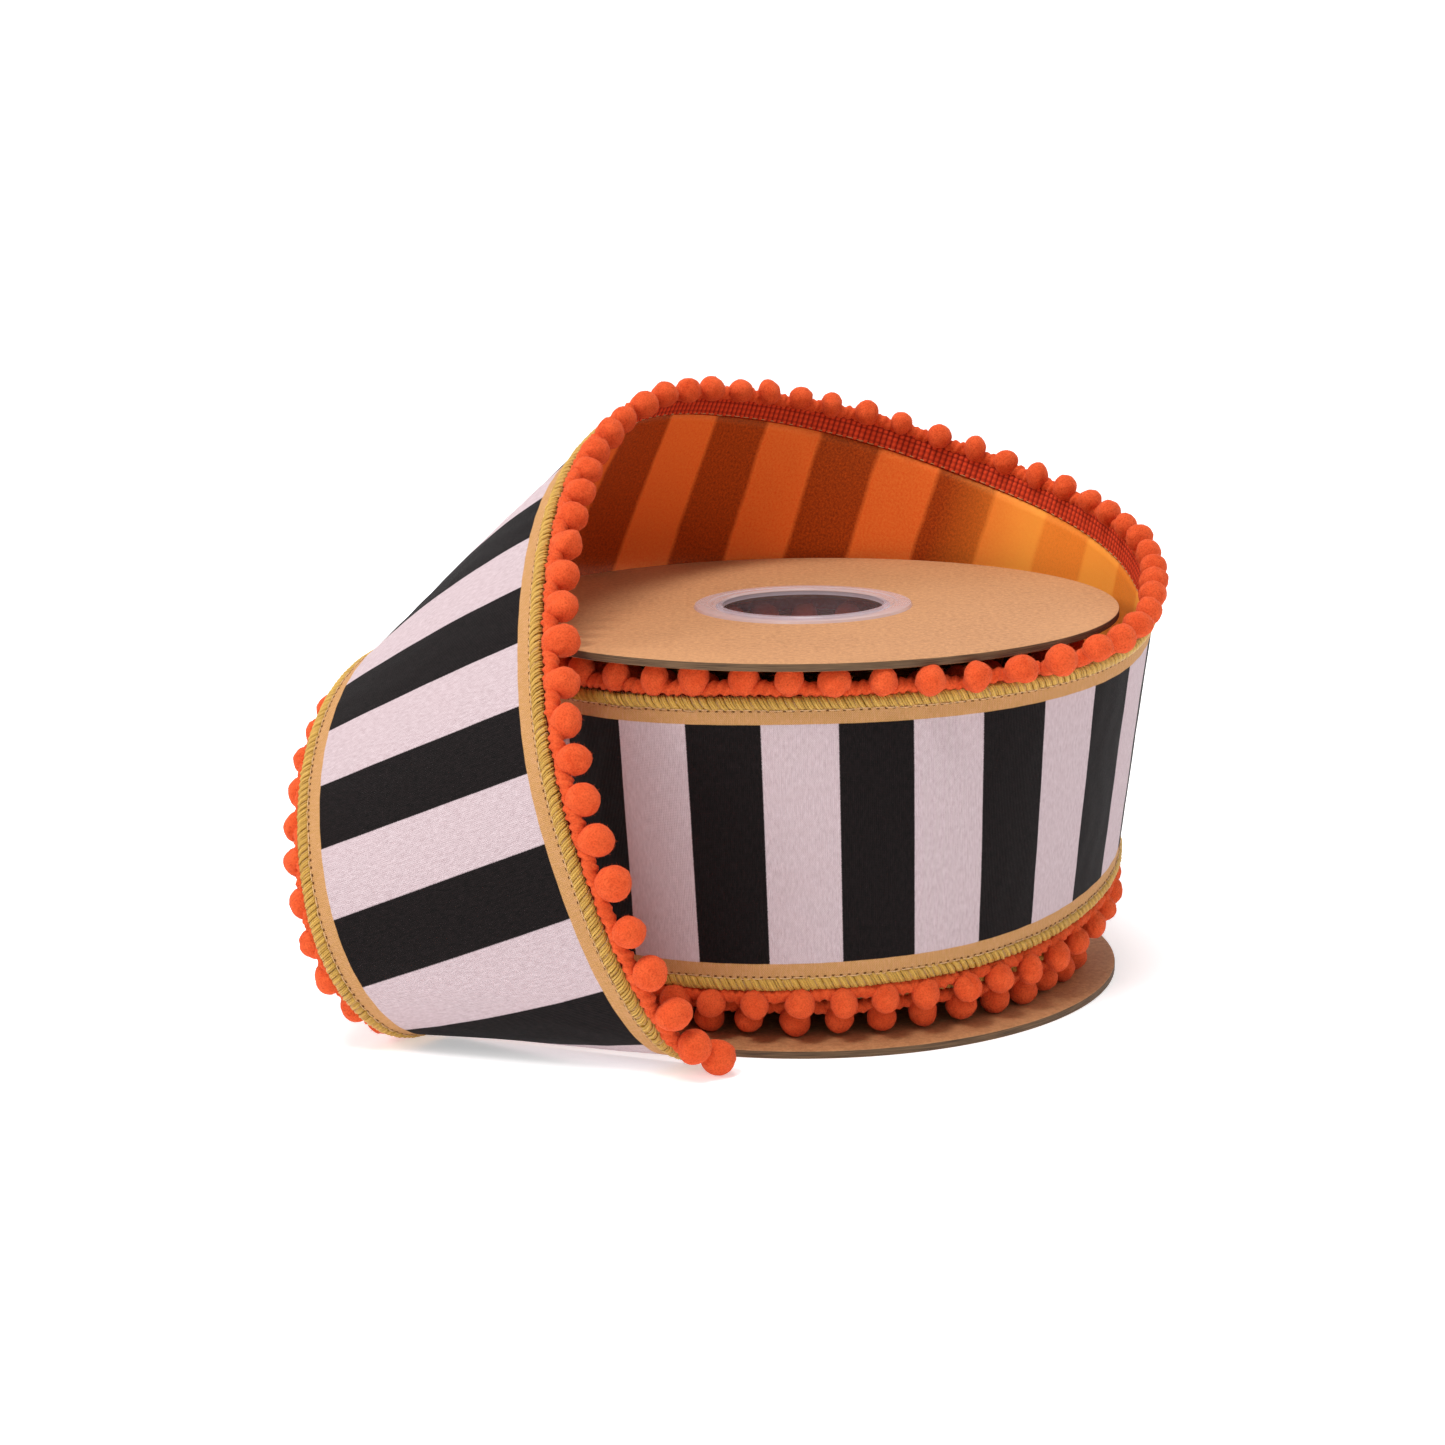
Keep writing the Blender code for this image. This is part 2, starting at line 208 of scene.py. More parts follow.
# How pompoms hang, by place along: how far a ball stands past the edge, and how deep under the outer face
UPPER_HANG = (
    (-64, 4.2, 0.8),
    (30, 4.0, 0.6),
    (55, 3.3, -1.4),
    (76, 3.1, -3.2),
    (90, 4.5, -5.0),
    (105, 5.5, -4.5),
    (125, 5.8, -1.5),
    (150, 6.0, 1.0),
    (187, 4.8, 1.8),
    (205, 3.0, 2.0),
    (235, 2.1, 2.0),
    (262, 2.5, 2.2),
    (300, 2.3, 3.0),
    (345, 2.3, 3.2),
    (400, 3.9, 2.2),
    (470, 4.4, 2.0),
    (515, 5.5, 1.0),
    (562, 5.5, 0.5),
)
LOWER_HANG = (
    (-64, 3.4, 0.0),
    (60, 3.4, -0.5),
    (100, 4.8, -1.8),
    (120, 5.0, -0.5),
    (160, 5.0, 1.5),
    (360, 4.6, 2.4),
    (400, 3.4, 3.0),
    (435, 2.4, 3.4),
    (548, 2.1, 3.5),
)
ROLL_TOP_HANG = ((0, 4.1, 1.6),)
ROLL_BOTTOM_HANG = ((0, 4.8, 0.0),)
INNER_TURN_HANG = ((0, 5.0, -1.4),)

# Where the satin is drawn paler, along the cloth, in place of the light that falls there in the photo
PAINTED_HIGHLIGHT_FROM = 128.0
PAINTED_HIGHLIGHT_FROM_OVER = 30.0
PAINTED_HIGHLIGHT_TO = 240.0
PAINTED_HIGHLIGHT_TO_OVER = 26.0

# The pale floor and the wall that it curves up into, in metres
FLOOR_NEAR = -9.0
FLOOR_FAR = 2.6
FLOOR_SIDE = 9.0
FLOOR_CURVE = 1.2
WALL_HEIGHT = 5.0

# The camera stands before the spool and looks a little down on it
CAMERA_FROM_AXIS = (-19.07, -645.5, 194.8)
CAMERA_TILT = 78.04
CAMERA_ROLL = -0.95
CAMERA_LENS = 70.455
CAMERA_SENSOR = 36.0


def smooth_through(knots, values, at):
    """The natural cubic spline through a column of values, read at many places."""
    steps = np.diff(knots)
    slopes = np.diff(values) / steps
    count = len(knots)
    matrix = np.eye(count)
    right = np.zeros(count)
    for row in range(1, count - 1):
        matrix[row, row - 1] = steps[row - 1]
        matrix[row, row] = 2 * (steps[row - 1] + steps[row])
        matrix[row, row + 1] = steps[row]
        right[row] = 6 * (slopes[row] - slopes[row - 1])
    bend = np.linalg.solve(matrix, right)
    span = np.clip(np.searchsorted(knots, at) - 1, 0, count - 2)
    before = at - knots[span]
    after = knots[span + 1] - at
    width = steps[span]
    curved = (bend[span] * after**3 + bend[span + 1] * before**3) / (6 * width)
    left = (values[span] / width - bend[span] * width / 6) * after
    return curved + left + (values[span + 1] / width - bend[span + 1] * width / 6) * before


def unit(vectors):
    return vectors / np.maximum(np.linalg.norm(vectors, axis=-1, keepdims=True), 1e-9)


class Route:
    """The ribbon's outer face, from the table of sections."""

    def __init__(self):
        table = np.array(ROUTE, float)
        column = {name: table[:, place] for place, name in enumerate(ROUTE_COLUMNS)}
        self.knots = column["along"]
        tip = np.radians(column["tip"])
        toward = np.radians(column["toward"])
        self.middle = [column[name] for name in ("x", "y", "z")]
        self.upward = [np.sin(tip) * np.cos(toward), np.sin(tip) * np.sin(toward), np.cos(tip)]
        self.bow = column["bow"]

    def read(self, columns, along):
        return np.stack([smooth_through(self.knots, values, along) for values in columns], -1)

    def place(self, along, across, depth):
        """Points by their length on the cloth, height on the width, and depth under the outer face."""
        along, across, depth = np.broadcast_arrays(*(np.asarray(v, float) for v in (along, across, depth)))
        centre = self.read(self.middle, along)
        run = unit(self.read(self.middle, along + 1.0) - self.read(self.middle, along - 1.0))
        upward = unit(self.read(self.upward, along))
        outward = unit(np.cross(run, upward))
        bow = smooth_through(self.knots, self.bow, along) * (across / HALF) ** 2
        return AXIS + centre + across[..., None] * upward - (bow + depth)[..., None] * outward


class Winding:
    """The wound turns, measured as the ribbon is and running on into it."""

    curl = ROLL_GROWTH / (4 * math.pi)
    last = ROLL_OUTER * 2 * math.pi + curl * (2 * math.pi) ** 2

    def turned(self, along):
        length = along - RIBBON_START + self.last
        return (np.sqrt(ROLL_OUTER**2 + 4 * self.curl * length) - ROLL_OUTER) / (2 * self.curl)

    def along_at(self, radius):
        turned = (radius - ROLL_OUTER) / (2 * self.curl)
        return ROLL_OUTER * turned + self.curl * turned**2 - self.last + RIBBON_START

    def place(self, along, across, depth):
        along, across, depth = np.broadcast_arrays(*(np.asarray(v, float) for v in (along, across, depth)))
        turned = self.turned(along)
        radius = ROLL_OUTER + 2 * self.curl * turned - depth
        angle = math.pi + turned
        inside = np.clip((ROLL_OUTER - radius) / ROLL_SLIP_OVER, 0.0, 1.0)
        height = ROLL_MIDDLE + across + ROLL_SLIP * np.sin(turned * ROLL_SLIP_WAVES) * inside
        return AXIS + np.stack([radius * np.cos(angle), radius * np.sin(angle), height], -1)


route = Route()
winding = Winding()


def slanted(along, across):
    """The length on the cloth at a height on its width, drawn on towards the slanted cut."""
    share = np.clip((along - SLANT_FROM) / (RIBBON_END - SLANT_FROM), 0.0, 1.0)
    return along + END_SLANT * share * across / HALF


def ribbon_place(along, across, depth):
    return route.place(slanted(along, across), across, depth)


def sides_of(place, along, across, depth):
    """The directions to the cloth's upper edge and out of its face."""
    step = 0.4
    run = unit(place(along + step, across, depth) - place(along - step, across, depth))
    up = unit(place(along, across + step, depth) - place(along, across - step, depth))
    return up, unit(np.cross(run, up))


def quads(first, second, third, fourth):
    """Two triangles for each quad, from four arrays of corners."""
    a, b, c, d = (np.ravel(corners) for corners in np.broadcast_arrays(first, second, third, fourth))
    return np.concatenate([np.stack([a, b, c], 1), np.stack([a, c, d], 1)])


def band_corners(rows, size):
    """The corners of the quads between rows of points, where each row closes on itself."""
    start = (np.arange(rows - 1) * size)[:, None]
    here = start + np.arange(size)
    there = start + (np.arange(size) + 1) % size
    return here, here + size, there + size, there


class Build:
    """Points, triangles and measures gathered for one piece."""

    def __init__(self):
        self.points = []
        self.faces = []
        self.values = {}
        self.count = 0

    def add(self, points, faces, **values):
        points = np.reshape(points, (-1, 3))
        self.points.append(points)
        self.faces.append(np.asarray(faces, np.int64) + self.count)
        for name, value in values.items():
            self.values.setdefault(name, []).append(np.broadcast_to(np.ravel(value), (len(points),)))
        self.count += len(points)

    def finish(self, name, material, sharp=None):
        points = np.concatenate(self.points) * MM
        points[:, 2] = np.maximum(points[:, 2], 0.0)
        faces = np.concatenate(self.faces)
        mesh = bpy.data.meshes.new(name)
        mesh.from_pydata(points.astype(np.float32), [], faces.astype(np.int32))
        for key, parts in self.values.items():
            layer = mesh.attributes.new(key, "FLOAT", "POINT")
            layer.data.foreach_set("value", np.concatenate(parts).astype(np.float32))
        mesh.shade_smooth()
        if sharp is not None:
            mesh.set_sharp_from_angle(angle=math.radians(sharp))
        mesh.materials.append(material)
        mesh.update()
        piece = bpy.data.objects.new(name, mesh)
        bpy.context.scene.collection.objects.link(piece)
        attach(piece, "root")
        return piece


def no_relief(rows, cols):
    return np.zeros(rows.shape)


def add_sheet(build, place, alongs, acrosses, outer, inner, relief=no_relief):
    """A closed sheet with an outer and an inner skin over the same rows and columns."""
    rows, cols = np.meshgrid(alongs, acrosses, indexing="ij")
    top = place(rows, cols, outer - relief(rows, cols))
    low = place(rows, cols, np.full(rows.shape, float(inner)))
    points = np.concatenate([top, low[:, ::-1]], 1)
    count, size = points.shape[:2]
    near = np.arange(len(acrosses) - 1)
    far = near + (count - 1) * size
    end = count * size - 1 - near
    faces = [
        quads(*band_corners(count, size)),
        quads(near, near + 1, size - 2 - near, size - 1 - near),
        quads(far, end, end - 1, far + 1),
    ]
    marks = slanted(rows, cols)
    both_along = np.concatenate([marks, marks[:, ::-1]], 1)
    both_across = np.concatenate([cols, cols[:, ::-1]], 1)
    build.add(points, np.concatenate(faces), along=both_along, across=both_across)


def add_tubes(build, paths, radii, facing, sides, tone):
    """Tubes alike in their number of points, from paths (tube, point, 3), radii and a facing direction."""
    paths = np.asarray(paths, float)
    tubes, count = paths.shape[:2]
    radii = np.broadcast_to(radii, (tubes, count))
    run = unit(np.gradient(paths, axis=1))
    side = unit(np.cross(run, np.broadcast_to(facing, run.shape)))
    lift = np.cross(side, run)
    angles = np.arange(sides) * 2 * math.pi / sides
    ring = np.cos(angles)[:, None] * side[:, :, None, :] + np.sin(angles)[:, None] * lift[:, :, None, :]
    points = paths[:, :, None, :] + radii[:, :, None, None] * ring
    base = (np.arange(tubes) * count * sides)[:, None, None]
    step = (np.arange(count - 1) * sides)[None, :, None]
    here = base + step + np.arange(sides)
    there = base + step + (np.arange(sides) + 1) % sides
    faces = [quads(here, there, there + sides, here + sides)]
    first = base.ravel()
    last = first + (count - 1) * sides
    for corner in range(1, sides - 1):
        faces.append(np.stack([first, first + corner + 1, first + corner], 1))
        faces.append(np.stack([last, last + corner, last + corner + 1], 1))
    toned = np.broadcast_to(np.reshape(tone, (-1, 1, 1)), (tubes, count, sides))
    build.add(points, np.concatenate(faces), tone=toned)


def add_turned(build, profile, steps):
    """A ring turned round the spool's axis from a closed profile of radius and height, wound outward."""
    radius, height = np.array(profile, float).T
    angles = (np.arange(steps) * 2 * math.pi / steps)[:, None]
    level = np.broadcast_to(height, (steps, len(profile)))
    points = AXIS + np.stack([radius * np.cos(angles), radius * np.sin(angles), level], -1)
    size = len(profile)
    start = np.arange(steps)[:, None] * size
    after = (np.arange(steps)[:, None] + 1) % steps * size
    here = np.arange(size)
    there = (here + 1) % size
    build.add(points, quads(start + here, after + here, after + there, start + there))


def ball_shape(fineness):
    """The corners and triangles of a unit ball."""
    work = bmesh.new()
    bmesh.ops.create_icosphere(work, subdivisions=fineness, radius=1.0)
    points = np.array([vert.co for vert in work.verts], float)
    faces = np.array([[vert.index for vert in face.verts] for face in work.faces])
    work.free()
    return points, faces


BALLS = {fineness: ball_shape(fineness) for fineness in (PLAIN_BALL, FINE_BALL)}


def lumps(shape, waves, strength, lowest, highest):
    """Soft bumps over a ball's directions, from a few random waves."""
    total = np.zeros(len(shape))
    for _ in range(waves):
        direction = unit(rng.normal(size=3))
        total += np.sin(shape @ direction * rng.uniform(lowest, highest) + rng.uniform(0, 6.28))
    return total * strength / math.sqrt(waves)


def add_hairs(build, roots, outward, count, tone):
    """Loose fibres on a ball, each a thin spike with three sides."""
    lean = unit(outward + HAIR_LEAN * rng.normal(size=(count, 3)))
    tip = roots + lean * rng.uniform(*HAIR_LENGTH, (count, 1)) + outward * 0.12
    across = unit(np.cross(lean, rng.normal(size=(count, 3)))) * HAIR_THICK
    other = np.cross(lean, across)
    left = roots - 0.5 * across + 0.87 * other
    right = roots - 0.5 * across - 0.87 * other
    spikes = np.stack([roots + across, left, right, tip], 1)
    base = (np.arange(count) * 4)[:, None, None]
    shell = np.array([[0, 1, 3], [1, 2, 3], [2, 0, 3], [0, 2, 1]])
    build.add(spikes, (base + shell).reshape(-1, 3), tone=tone)


def add_ball(build, centre, toward_root, outward, size, fineness, hairs):
    """A felted ball: a little flat, creased where the yarn parts, with loose fibres."""
    shape, faces = BALLS[fineness]
    stretch = 1 + rng.uniform(-0.08, 0.08, 3)
    pull = np.clip(shape @ toward_root, 0.0, 1.0) ** 3
    soft = lumps(shape, waves=5, strength=0.05, lowest=2.0, highest=4.5)
    rough = lumps(shape, waves=6, strength=0.016, lowest=8.0, highest=15.0)
    radius = 1 + soft + rough + 0.12 * pull
    for _ in range(rng.integers(0, 3)):
        normal = unit(np.cross(toward_root, unit(outward + 0.9 * rng.normal(size=3))))
        away = shape @ normal - rng.uniform(-0.35, 0.35)
        near_root = np.clip(shape @ toward_root + 0.75, 0.0, 1.0)
        radius -= CREASE_DEPTH * np.exp(-((away / CREASE_WIDTH) ** 2)) * near_root
    size = size * rng.uniform(0.96, 1.04)
    tone = rng.uniform(0.0, 1.0)
    build.add(centre + size * radius[:, None] * shape * stretch, faces, tone=tone)
    if hairs:
        picked = rng.integers(0, len(shape), hairs)
        roots = centre + size * (radius[picked, None] - 0.03) * shape[picked] * stretch
        add_hairs(build, roots, shape[picked], hairs, min(tone + 0.25, 1.0))


def link_place(along, hang):
    """How far the links stand past the edge and under the face: close to it where the balls hang close."""
    reach = np.interp(along, hang[:, 0], hang[:, 1])
    depth = np.interp(along, hang[:, 0], hang[:, 2])
    out = np.clip(LINK_FOLLOW * (reach - LINK_CLOSE), LINK_LEAST, LINK_OUT)
    return out, np.maximum(LINK_DEPTH, depth - LINK_BEHIND)


def add_links(build, place, side, start, end, first, hang):
    """The felted links from root to root, as one twisted tube that swells between the balls."""
    steps = int((end - start) / LINK_STEP)
    alongs = np.linspace(start, end, steps)
    swell = np.sin(math.pi * np.mod((alongs - first) / POM_PITCH, 1.0))
    uneven = 0.09 * np.sin(alongs * 2.3 + 1.5 * np.sin(alongs * 0.37))
    thick = 1.12 + 0.5 * swell**0.7 + uneven
    out, depth = link_place(alongs, hang)
    across = side * (HALF + out + 0.35 * swell + 0.2 * np.sin(alongs * 0.83))
    middle = place(alongs, across, depth)
    up, outward = sides_of(place, alongs, across, depth)
    angles = np.arange(LINK_SIDES) * 2 * math.pi / LINK_SIDES
    twisted = angles + (2 * math.pi * alongs / LINK_TWIST)[:, None]
    groove = 1 + 0.15 * np.cos(2 * twisted) + 0.04 * rng.normal(size=(steps, LINK_SIDES))
    ring = np.cos(angles)[:, None] * (side * up)[:, None, :] + np.sin(angles)[:, None] * outward[:, None, :]
    points = middle[:, None, :] + (thick[:, None] * groove)[:, :, None] * ring
    corners = band_corners(steps, LINK_SIDES)
    corner = np.arange(1, LINK_SIDES - 1)
    pivot = np.zeros_like(corner)
    last = (steps - 1) * LINK_SIDES
    faces = [
        quads(*corners) if side < 0 else quads(*corners[::-1]),
        np.stack([pivot, corner + 1, corner], 1)[:, ::side],
        np.stack([pivot, corner, corner + 1], 1)[:, ::side] + last,
    ]
    build.add(points, np.concatenate(faces), tone=0.35)


def add_pompoms(build, place, side, roots, hang, fineness, hairs):
    """A ball on a short neck at each root."""
    for root in roots:
        reach = np.interp(root, hang[:, 0], hang[:, 1]) + rng.uniform(-0.25, 0.25)
        depth = np.interp(root, hang[:, 0], hang[:, 2]) + rng.uniform(-0.3, 0.3)
        centre = place(root + rng.uniform(-0.5, 0.5), side * (HALF + reach), depth)
        centre[2] = max(centre[2], FLOOR_CLEAR)
        link_out, link_depth = link_place(root, hang)
        foot = place(root, side * (HALF + link_out - NECK_ROOT), link_depth)
        _, outward = sides_of(place, root, side * HALF, depth)
        share = np.linspace(0.0, 1.0, 6)
        neck = foot + (centre - foot) * share[:, None]
        bulge = NECK_RADIUS * (1.0 + 0.25 * np.sin(math.pi * share))
        add_tubes(build, neck[None], bulge[None], outward, NECK_SIDES, 0.3)
        size = np.interp(root, *np.array(POM_SIZES).T)
        add_ball(build, centre, unit(foot - centre), outward, size, fineness, hairs)


def add_braid(build, place, side, start, end, first, hang, fineness, hairs):
    """Felted links along an edge, with a ball on a short neck at each root."""
    hang = np.array(hang, float)
    roots = np.arange(first, end - 2.0, POM_PITCH)
    add_links(build, place, side, start, end, first, hang)
    add_pompoms(build, place, side, roots[roots > start + 2.0], hang, fineness, hairs)


def add_edge_threads(gold, pale, place, side, start, end):
    """The edge's overcast threads: gold bundles with a pale thread between, laid slanting round the edge."""
    heights, depths = np.array(EDGE_COURSE).T
    slant = side * (1.0 - 2.0 * np.linspace(0.0, 1.0, len(heights))) * EDGE_SLANT
    firsts = np.arange(start + 1.8, end - 1.8, STITCH)[:, None]
    for build, radius, threads in ((gold, GOLD_RADIUS, GOLD_THREADS), (pale, PALE_RADIUS, PALE_THREADS)):
        for offset, tone in threads:
            alongs = firsts + offset + slant + rng.normal(size=firsts.shape) * 0.06
            across = side * (heights + rng.normal(size=firsts.shape) * 0.07)
            crown = EDGE_CROWN * (offset / EDGE_CROWN_AT) ** 2
            depth = depths + crown + rng.normal(size=firsts.shape) * 0.04
            _, outward = sides_of(place, alongs, across, depth)
            shade = tone + rng.uniform(-0.15, 0.15, len(firsts))
            add_tubes(build, place(alongs, across, depth), radius, outward, 4, shade)


def add_running_thread(build, place, line, start, end, depth, length, gap, radius, wander, tone):
    """A row of short surface stitches along the cloth, each rising from the first depth to the second."""
    firsts = np.arange(start, end - length, length + gap)[:, None]
    shares = np.linspace(0.0, 1.0, 6)
    rise = np.sin(math.pi * shares)
    alongs = firsts + shares * length
    across = line + wander * rng.normal(size=firsts.shape) + wander * rise * rng.choice([-1, 1], firsts.shape)
    depths = depth[0] + (depth[1] - depth[0]) * rise
    _, outward = sides_of(place, alongs, across, depths)
    shade = tone + rng.uniform(-0.2, 0.2, len(firsts))
    add_tubes(build, place(alongs, across, depths), radius, outward, 4, shade)


class Shade:
    """A material's nodes, with short calls for the few kinds used here."""

    def __init__(self, name, rough, **settings):
        self.material = bpy.data.materials.new(name)
        self.material.use_nodes = True
        self.tree = self.material.node_tree
        self.shader = self.tree.nodes["Principled BSDF"]
        self.shader.inputs["Roughness"].default_value = rough
        for key, value in settings.items():
            self.shader.inputs[key.replace("_", " ")].default_value = value

    def node(self, kind, *inputs, **options):
        made = self.tree.nodes.new(kind)
        for key, value in options.items():
            setattr(made, key, value)
        for place, value in enumerate(inputs):
            self.put(made.inputs[place], value)
        return made

    def put(self, socket, value):
        if value is None:
            return
        if isinstance(value, bpy.types.NodeSocket):
            self.tree.links.new(value, socket)
        elif isinstance(value, tuple) and len(value) == 3 and socket.type == "RGBA":
            socket.default_value = (*value, 1.0)
        else:
            socket.default_value = value

    def math(self, operation, first, second=0.0, third=None, clamp=False):
        made = self.node("ShaderNodeMath", first, second, third, operation=operation, use_clamp=clamp)
        return made.outputs[0]

    def times(self, first, second):
        return self.math("MULTIPLY", first, second)

    def ramp(self, value, scale, shift):
        """A value scaled and shifted, and kept from 0 to 1."""
        return self.math("MULTIPLY_ADD", value, scale, shift, clamp=True)

    def step(self, value, edge, width):
        """0 below the edge and 1 above it, over a width."""
        return self.ramp(self.math("SUBTRACT", value, edge), 1.0 / width, 0.5)

    def attribute(self, name):
        return self.node("ShaderNodeAttribute", attribute_name=name).outputs["Fac"]

    def object_space(self):
        return self.node("ShaderNodeTexCoord").outputs["Object"]

    def noise(self, scale, place, detail=3.0, rough=0.55):
        made = self.node("ShaderNodeTexNoise")
        self.put(made.inputs["Vector"], place)
        for key, value in (("Scale", scale), ("Detail", detail), ("Roughness", rough)):
            made.inputs[key].default_value = value
        return made.outputs["Fac"]

    def cloth_noise(self, along, across, fineness, detail=3.0, rough=0.55):
        """Noise laid on the cloth, with its own fineness along and across."""
        x = self.times(along, fineness[0])
        y = self.times(across, fineness[1])
        return self.noise(1.0, self.node("ShaderNodeCombineXYZ", x, y, 0.0).outputs[0], detail, rough)

    def mix(self, share, first, second):
        made = self.node("ShaderNodeMix", data_type="RGBA", blend_type="MIX")
        self.put(made.inputs[0], share)
        self.put(made.inputs[6], first)
        self.put(made.inputs[7], second)
        return made.outputs[2]

    def colour(self, value):
        self.put(self.shader.inputs["Base Color"], value)

    def bump(self, height, distance, strength):
        made = self.node("ShaderNodeBump")
        made.inputs["Strength"].default_value = strength
        made.inputs["Distance"].default_value = distance
        self.put(made.inputs["Height"], height)
        self.put(self.shader.inputs["Normal"], made.outputs[0])


def linear(*values):
    """A colour from the eye's 0 to 255 scale to the shader's."""
    levels = (value / 255 for value in values)
    return tuple(((level + 0.055) / 1.055) ** 2.4 if level > 0.04045 else level / 12.92 for level in levels)


def stripe_share(shade, along, softness, wobble):
    """1 on a white stripe and 0 on a black one."""
    moved = shade.math("ADD", along, wobble)
    turned = shade.math("FLOORED_MODULO", shade.math("SUBTRACT", moved, STRIPE / 2), 2 * STRIPE)
    away = shade.math("SUBTRACT", shade.math("ABSOLUTE", shade.math("SUBTRACT", turned, STRIPE)), STRIPE / 2)
    return shade.ramp(away, 1.0 / softness, 0.5)


def needle_holes(shade, along, height):
    """1 in the needle's holes beside the overcast edge, and 0 elsewhere."""
    beat = shade.math("FLOORED_MODULO", shade.math("SUBTRACT", along, RIBBON_START), STITCH)
    aside = shade.math("ABSOLUTE", shade.math("SUBTRACT", beat, STITCH / 2))
    aside = shade.math("DIVIDE", aside, HOLE_WIDE)
    above = shade.math("ABSOLUTE", shade.math("SUBTRACT", height, EDGE_INNER - HOLE_IN))
    above = shade.math("DIVIDE", above, HOLE_HIGH)
    away = shade.math("MAXIMUM", aside, above)
    return shade.math("SUBTRACT", 1.0, shade.step(away, 0.85, 0.4))


def ribbon_material():
    shade = Shade("striped_ribbon", 0.7, Specular_IOR_Level=0.12)
    along = shade.attribute("along")
    across = shade.attribute("across")
    height = shade.math("ABSOLUTE", across)
    fine = shade.cloth_noise(along, across, (1.9, 0.55), 4.0, 0.75)
    cross = shade.cloth_noise(along, across, (0.5, 2.8), 3.0, 0.6)
    cloudy = shade.cloth_noise(along, across, (0.07, 0.09))
    wobble = shade.times(shade.math("SUBTRACT", cross, 0.5), 0.35)
    rib = shade.math("SINE", shade.times(along, 2 * math.pi / RIB))
    pick = shade.math("SINE", shade.times(across, 2 * math.pi / PICK))
    weave = shade.times(rib, pick)
    white = shade.mix(shade.ramp(fine, 1.7, -0.35), linear(176, 154, 158), linear(234, 219, 223))
    white = shade.mix(shade.ramp(weave, 0.28, 0.28), white, linear(152, 128, 134))
    white = shade.mix(shade.times(shade.step(cloudy, 0.5, 0.5), 0.25), white, linear(200, 176, 181))
    black = shade.mix(shade.ramp(fine, 2.2, -0.75), linear(5, 3, 3), linear(32, 23, 24))
    black = shade.mix(shade.times(shade.step(cross, 0.66, 0.08), 0.35), black, linear(44, 34, 35))
    stripes = shade.mix(stripe_share(shade, along, 0.22, wobble), black, white)
    tan = shade.mix(shade.ramp(weave, 0.5, 0.5), linear(158, 108, 60), linear(212, 164, 106))
    tan = shade.mix(shade.times(shade.step(fine, 0.55, 0.2), 0.3), tan, linear(222, 168, 134))
    band = shade.step(shade.math("MULTIPLY_ADD", wobble, 0.25, height), BAND_INNER, 0.16)
    colour = shade.mix(band, stripes, tan)
    colour = shade.mix(shade.step(height, EDGE_INNER + 0.1, 0.3), colour, linear(150, 108, 30))
    # The needle's holes are drawn dark brown: painted shade inside them
    hole = needle_holes(shade, along, height)
    shade.colour(shade.mix(shade.times(hole, 0.95), colour, linear(96, 58, 28)))
    bumped = shade.math("MULTIPLY_ADD", pick, 0.15, shade.times(fine, 0.9))
    bumped = shade.math("MULTIPLY_ADD", rib, 0.35, bumped)
    bumped = shade.math("SUBTRACT", bumped, shade.times(hole, 2.5))
    shade.bump(bumped, 0.00012, 0.8)
    return shade.material


def lining_material():
    shade = Shade("orange_satin", 0.46, Sheen_Weight=0.12, Sheen_Roughness=0.4, Specular_IOR_Level=0.75)
    shade.shader.inputs["Sheen Tint"].default_value = (1.0, 0.62, 0.25, 1.0)
    shade.shader.inputs["Specular Tint"].default_value = (1.0, 0.6, 0.2, 1.0)
    along = shade.attribute("along")
    across = shade.attribute("across")
    grain = shade.cloth_noise(along, across, (1.7, 1.4), 5.0, 0.8)
    soft = shade.cloth_noise(along, across, (0.12, 0.07), 2.0)
    wobble = shade.times(shade.math("SUBTRACT", soft, 0.5), 1.2)
    light = shade.mix(shade.ramp(grain, 2.0, -0.5), linear(242, 82, 24), linear(255, 140, 62))
    dark = shade.mix(shade.ramp(grain, 3.0, -1.0), linear(108, 16, 2), linear(204, 76, 14))
    # Painted highlight: a stretch of the satin drawn lighter, its dark stripes faded nearly away, where light
    # falls on it
    before = shade.step(along, PAINTED_HIGHLIGHT_FROM, PAINTED_HIGHLIGHT_FROM_OVER)
    after = shade.step(along, PAINTED_HIGHLIGHT_TO, PAINTED_HIGHLIGHT_TO_OVER)
    painted_highlight = shade.times(before, shade.math("SUBTRACT", 1.0, after))
    painted_highlight = shade.times(painted_highlight, shade.ramp(grain, 0.8, 0.55))
    light = shade.mix(painted_highlight, light, linear(255, 164, 62))
    dark = shade.mix(shade.times(painted_highlight, 0.93), dark, linear(248, 142, 48))
    shade.colour(shade.mix(stripe_share(shade, along, 1.3, wobble), dark, light))
    slope = shade.math("ADD", along, shade.times(across, 0.6))
    twill = shade.math("SINE", shade.times(slope, 15.0))
    shade.bump(shade.math("MULTIPLY_ADD", twill, 0.1, shade.times(grain, 1.2)), 0.00008, 0.7)
    return shade.material


def felt_material():
    shade = Shade("orange_felt", 0.95, Sheen_Weight=0.12, Sheen_Roughness=0.4, Specular_IOR_Level=0.12)
    shade.shader.inputs["Sheen Tint"].default_value = (1.0, 0.55, 0.35, 1.0)
    light = linear(242, 104, 56)
    place = shade.object_space()
    fuzz = shade.noise(2600.0, place, 4.0, 0.7)
    patch = shade.noise(420.0, place, 3.0, 0.6)
    colour = shade.mix(shade.ramp(patch, 1.6, -0.3), linear(216, 74, 32), light)
    colour = shade.mix(shade.ramp(shade.attribute("tone"), 0.4, 0.0), colour, light)
    shade.colour(shade.mix(shade.ramp(fuzz, -2.4, 1.35), colour, linear(168, 42, 15)))
    shade.bump(shade.math("MULTIPLY_ADD", patch, 0.8, shade.times(fuzz, 0.9)), 0.00045, 0.8)
    return shade.material


